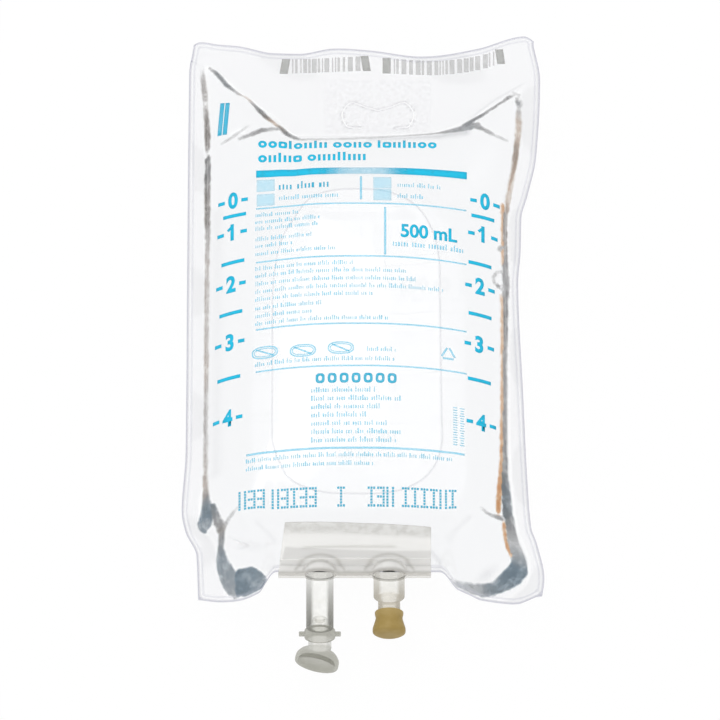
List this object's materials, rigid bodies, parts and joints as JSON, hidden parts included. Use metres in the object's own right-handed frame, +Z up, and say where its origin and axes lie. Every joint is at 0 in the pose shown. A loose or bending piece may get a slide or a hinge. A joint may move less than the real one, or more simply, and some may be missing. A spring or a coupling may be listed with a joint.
{
  "type": "iv fluid bag",
  "caption": "Clear soft bag of saline for infusion, lying filled on its back, with a die-cut hanger flap, a set port with pull-off protector and an additive port.",
  "frame": {"origin": "on the table, on the flat underside of the bag near the middle of its film", "axes": "+Z up out of the printed front, +Y along the bag to its head and hanger, +X to the right seen from the front"},
  "size_m": [0.1315, 0.2447, 0.0415],
  "materials": {
    "clear_film": "gloss",
    "saline": "gloss",
    "milky_boot": "satin, translucent",
    "milky_tube": "satin, translucent",
    "milky_cap": "satin, translucent",
    "tan_rubber": "matt"
  },
  "bodies": {
    "bag": {"front_film": "clear_film", "back_film": "clear_film", "saline": "saline", "port_boot": "milky_boot", "set_port_tube": "milky_tube", "additive_port_tube": "milky_tube", "additive_stopper": "tan_rubber"},
    "protector": {"set_port_protector": "milky_cap"}
  },
  "joints": [
    {"name": "protector_pull", "type": "slide", "parent": "bag", "child": "protector", "axis": [0, -1, 0], "range_m": [0, 0.03]}
  ]
}
